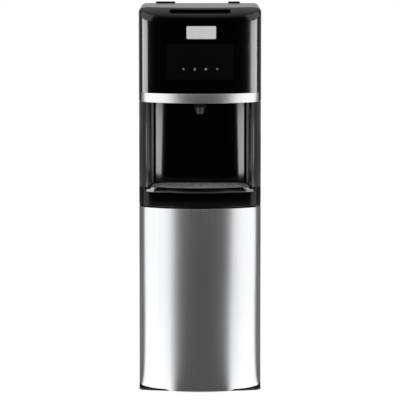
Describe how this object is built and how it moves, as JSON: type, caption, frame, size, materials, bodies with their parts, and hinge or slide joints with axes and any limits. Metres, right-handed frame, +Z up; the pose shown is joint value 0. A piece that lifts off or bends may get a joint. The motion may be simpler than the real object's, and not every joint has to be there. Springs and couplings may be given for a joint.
{
  "type": "water dispenser",
  "caption": "Free-standing water dispenser with a bowed steel door over the bottle space, a tap recess with drip tray and grille, and a gloss head with touch window.",
  "frame": {"origin": "middle of the footprint on the floor", "axes": "+Z up, front with door and taps towards -Y, hinge side of the door towards +X"},
  "size_m": [0.334, 0.3555, 1.055],
  "materials": {
    "black_plastic": "satin black moulding",
    "gloss_fascia": "high gloss black",
    "brushed_door": "fine vertical brush",
    "chrome_trim": "polished",
    "plate_metal": "satin",
    "side_paint": "fine textured charcoal paint",
    "zinc_sheet": "zinc plated sheet",
    "liner_plastic": "grey matt",
    "touch_glass": "smoked window",
    "board_green": "circuit board",
    "clear_plastic": "frosted clear",
    "rubber_black": "matt",
    "seal_grey": "soft vinyl",
    "stainless": "satin",
    "hose_silicone": "milky silicone",
    "foam_cream": "rigid foam",
    "jacket_grey": "felt jacket",
    "copper": "copper pipe",
    "black_enamel": "black enamel",
    "switch_red": "gloss",
    "switch_green": "gloss",
    "white_plastic": "white moulding"
  },
  "bodies": {
    "cabinet": {"base_plinth": "black_plastic", "foot_pads": "rubber_black", "left_side_panel": "side_paint", "right_side_panel": "side_paint", "lower_rear_panel": "side_paint", "upper_rear_panel": "side_paint", "compressor_guard": "side_paint", "compartment_liner": "liner_plastic", "bottle_rest": "liner_plastic", "mid_shelf": "zinc_sheet", "tank_shelf": "zinc_sheet", "top_cover": "black_plastic", "front_fascia": "gloss_fascia", "vent_insert": "black_plastic", "bare_plate": "plate_metal", "touch_window": "touch_glass", "touch_board": "board_green", "chrome_band": "chrome_trim", "recess_liner": "black_plastic", "corner_pillars": "black_plastic", "tray_housing": "black_plastic", "nozzle_collar": "black_plastic", "nozzle_cup": "clear_plastic", "spouts": "hose_silicone", "night_light_lens": "clear_plastic", "reed_sensor": "black_plastic", "hinge_pins": "stainless", "probe_dock": "liner_plastic", "water_pump": "black_plastic", "cold_tank": "stainless", "cold_tank_foam": "foam_cream", "evaporator_coil": "copper", "hot_tank": "stainless", "hot_tank_jacket": "jacket_grey", "thermostats": "black_plastic", "solenoid_valves": "white_plastic", "water_hoses": "hose_silicone", "control_box": "black_plastic", "compressor": "black_enamel", "compressor_grommets": "rubber_black", "condenser_coil": "black_enamel", "condenser_wires": "black_enamel", "condenser_brackets": "black_plastic", "refrigerant_pipes": "copper", "switch_plate": "black_plastic", "drain_port": "white_plastic", "cord_gland": "rubber_black", "panel_screws": "zinc_sheet"},
    "door": {"door_skin": "brushed_door", "door_core": "black_plastic", "door_gasket": "seal_grey", "door_magnet": "zinc_sheet"},
    "tray": {"drip_tray": "black_plastic"},
    "grille": {"tray_grille": "stainless"},
    "heat_rocker": {"heat_switch": "switch_red"},
    "cool_rocker": {"cool_switch": "switch_green"},
    "light_rocker": {"light_switch": "black_plastic"},
    "cap": {"drain_cap": "black_plastic"},
    "probe": {"bottle_probe": "stainless", "probe_hose": "hose_silicone"}
  },
  "joints": [
    {"name": "door_hinge", "type": "hinge", "parent": "cabinet", "child": "door", "pos_m": [0.15172, -0.09752, 0.2573], "axis": [0, 0, 1], "range_deg": [0, 110]},
    {"name": "tray_lift", "type": "slide", "parent": "cabinet", "child": "tray", "axis": [0, 0, 1], "range_m": [0, 0.05]},
    {"name": "grille_lift", "type": "slide", "parent": "tray", "child": "grille", "axis": [0, 0, 1], "range_m": [0, 0.04]},
    {"name": "heat_rock", "type": "hinge", "parent": "cabinet", "child": "heat_rocker", "pos_m": [0.071, 0.1605, 0.978], "axis": [1, 0, 0], "range_deg": [0, 18]},
    {"name": "cool_rock", "type": "hinge", "parent": "cabinet", "child": "cool_rocker", "pos_m": [0.096, 0.1605, 0.978], "axis": [1, 0, 0], "range_deg": [0, 18]},
    {"name": "light_rock", "type": "hinge", "parent": "cabinet", "child": "light_rocker", "pos_m": [0.121, 0.1605, 0.978], "axis": [1, 0, 0], "range_deg": [0, 18]},
    {"name": "cap_turn", "type": "hinge", "parent": "cabinet", "child": "cap", "pos_m": [-0.092, 0.1705, 0.539], "axis": [0, 1, 0], "continuous": true},
    {"name": "probe_lift", "type": "slide", "parent": "cabinet", "child": "probe", "axis": [0, 0, 1], "range_m": [0, 0.035], "deforming": ["probe_hose"]}
  ]
}
